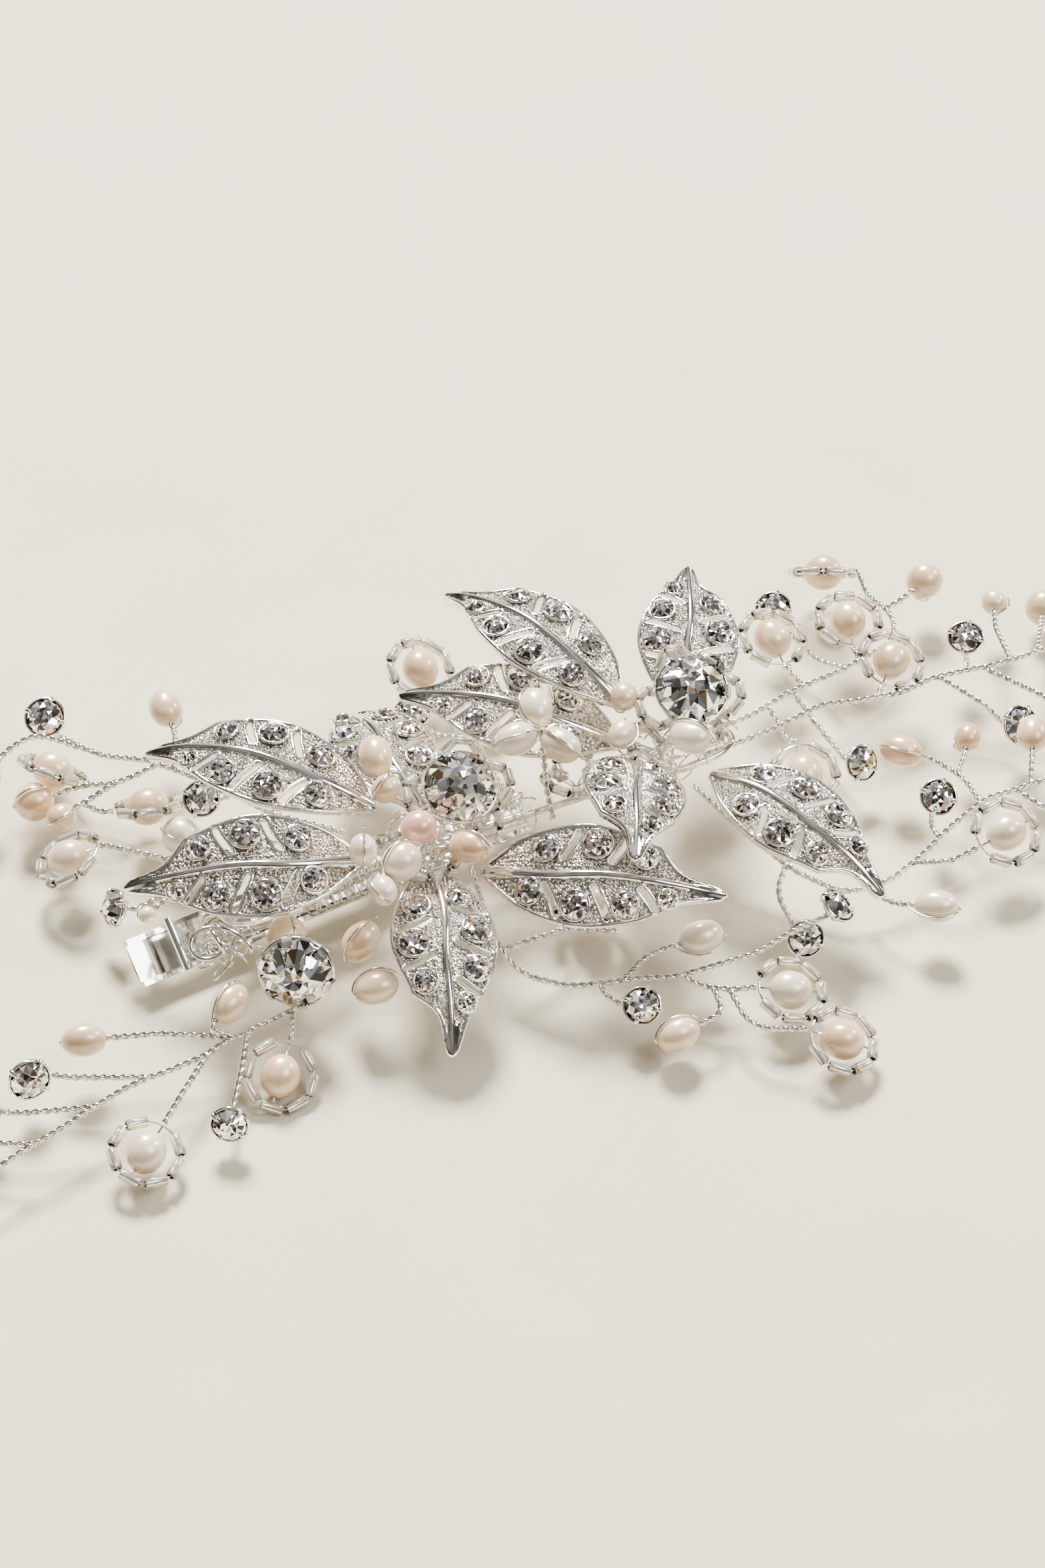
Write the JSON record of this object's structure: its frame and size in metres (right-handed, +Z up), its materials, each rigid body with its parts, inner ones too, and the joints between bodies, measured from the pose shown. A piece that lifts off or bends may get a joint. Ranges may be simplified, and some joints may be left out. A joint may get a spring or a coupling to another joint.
{
  "type": "bridal hair vine headpiece",
  "caption": "Silver hair vine on a sprung alligator clip: cast stone-set leaves, claw-set crystals, pearls and wired sprays of pearls, crystals and bugle beads.",
  "frame": {"origin": "bottom centre of the headpiece's box as it lies on a table, outside face up", "axes": "+X along the headpiece towards its right end, +Y towards its back edge, +Z up out of the table"},
  "size_m": [0.2042, 0.1162, 0.0274],
  "materials": {
    "silver_plate": "bright silver-plated casting, granular between polished rims and ribs",
    "wire": "bright silver-plated craft wire, twisted in pairs",
    "clip_plate": "polished plated pressed steel",
    "spring_steel": "bare spring wire",
    "crystal": "clear cut stone, foiled at the back",
    "bugle_glass": "clear silver-lined glass tube",
    "pearl_ivory": "lustrous ivory pearl with a faint peach or pink overtone",
    "pearl_pink": "lustrous pink pearl"
  },
  "bodies": {
    "headpiece": {"back_left_spray_pearls": "pearl_ivory", "back_left_spray_wire": "wire", "back_middle_spray_pearls": "pearl_ivory", "back_middle_spray_wire": "wire", "back_right_spray_pearls": "pearl_ivory", "back_right_spray_wire": "wire", "binding_wire": "wire", "clip_hinge_pin": "clip_plate", "clip_spring": "spring_steel", "clip_upper_jaw": "clip_plate", "core_wire": "wire", "front_left_spray_pearls": "pearl_ivory", "front_left_spray_wire": "wire", "front_middle_spray_pearls": "pearl_ivory", "front_middle_spray_wire": "wire", "front_right_spray_pearls": "pearl_ivory", "front_right_spray_wire": "wire", "left_bugles": "bugle_glass", "left_crown_crystal": "crystal", "left_crown_setting": "silver_plate", "left_crystals": "crystal", "left_cups": "silver_plate", "left_flower_pearls": "pearl_ivory", "left_flower_pink_pearl": "pearl_pink", "left_leaf_1": "silver_plate", "left_leaf_1_stones": "crystal", "left_leaf_2": "silver_plate", "left_leaf_2_stones": "crystal", "left_leaf_3": "silver_plate", "left_leaf_3_stones": "crystal", "left_leaf_4": "silver_plate", "left_leaf_4_stones": "crystal", "left_leaf_5": "silver_plate", "left_leaf_5_stones": "crystal", "left_side_spray_pearls": "pearl_ivory", "left_side_spray_wire": "wire", "right_bugles": "bugle_glass", "right_crown_crystal": "crystal", "right_crown_setting": "silver_plate", "right_crystals": "crystal", "right_cups": "silver_plate", "right_end_spray_pearls": "pearl_ivory", "right_end_spray_wire": "wire", "right_flower_pearls": "pearl_ivory", "right_leaf_1": "silver_plate", "right_leaf_1_stones": "crystal", "right_leaf_2": "silver_plate", "right_leaf_2_stones": "crystal", "right_leaf_3": "silver_plate", "right_leaf_3_stones": "crystal", "right_leaf_4": "silver_plate", "right_leaf_4_stones": "crystal", "right_leaf_5": "silver_plate", "right_leaf_5_stones": "crystal", "side_crystal": "crystal", "side_setting": "silver_plate", "trefoil_pearls": "pearl_ivory", "trefoil_stalk": "wire"},
    "lower_jaw": {"clip_lower_jaw": "clip_plate"}
  },
  "joints": [
    {"name": "jaw_hinge", "type": "hinge", "parent": "headpiece", "child": "lower_jaw", "pos_m": [-0.03912, 0.00758, 0.00554], "axis": [0, 0.788, 0.6157], "range_deg": [0, 15], "stiffness_Nm_per_rad": 0.08, "springref_deg": -45.84, "deforming": ["clip_spring"]}
  ]
}
